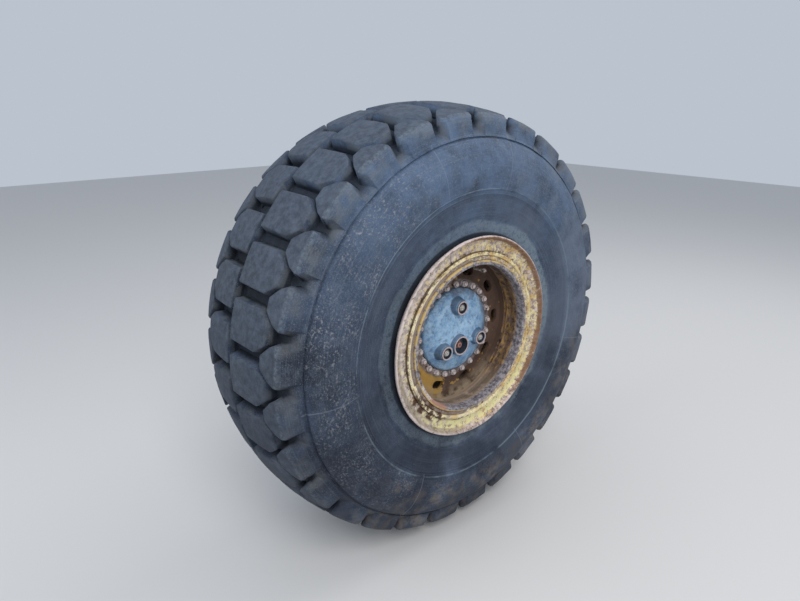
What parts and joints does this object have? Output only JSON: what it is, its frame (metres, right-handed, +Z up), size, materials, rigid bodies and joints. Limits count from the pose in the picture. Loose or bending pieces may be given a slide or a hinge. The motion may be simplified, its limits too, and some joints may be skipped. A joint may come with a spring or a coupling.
{
  "type": "earthmover wheel with planetary hub",
  "caption": "Earthmover wheel on its axle end: lugged tyre on a multi-piece rim, disc bolted to a planetary hub, wet brake housing and spindle flange behind it.",
  "frame": {"origin": "centre of the spindle's flange face, which bolts to the axle casing", "axes": "+Y out of that face, into the machine along the axle; the wheel is at -Y; +Z up; the wheel turns about Y"},
  "size_m": [1.7074, 0.7, 1.7074],
  "materials": {
    "tyre": "dusty black rubber, scuffed",
    "rim_paint": "worn yellow paint over rust",
    "rim_inside": "brown rust and dried mud over paint",
    "disc_paint": "dark yellow paint, rusted",
    "valve_rubber": "matt black rubber",
    "hub_casting": "rough casting, rusted",
    "gear_steel": "machined steel",
    "carrier_paint": "dusty blue paint on a casting",
    "plug_steel": "dull steel, lightly rusted",
    "bolt_steel": "rusted steel",
    "seal_steel": "oily ground steel",
    "axle_paint": "dusty yellow paint on castings"
  },
  "bodies": {
    "axle_end": {"spindle": "axle_paint", "axle_flange": "axle_paint", "brake_housing": "axle_paint", "brake_piston_cover": "axle_paint", "brake_housing_bolts": "bolt_steel", "bleed_screw": "plug_steel", "face_seal": "seal_steel"},
    "wheel": {"tyre": "tyre", "rim_base": "rim_inside", "bead_seat_band": "rim_paint", "lock_ring": "rim_paint", "driver_key": "rim_paint", "outer_side_flange": "rim_paint", "inner_side_flange": "rim_paint", "wheel_disc": "disc_paint", "valve_stem": "valve_rubber", "valve_cap": "valve_rubber", "hub": "hub_casting", "gear_set": "gear_steel", "planet_carrier": "carrier_paint", "planet_pin_plugs": "plug_steel", "filler_plug": "plug_steel", "wheel_bolts": "bolt_steel", "hub_seal_ring": "seal_steel"}
  },
  "joints": [
    {"name": "wheel_spin", "type": "hinge", "parent": "axle_end", "child": "wheel", "pos_m": [0, -0.36, 0], "axis": [0, 1, 0], "continuous": true}
  ]
}
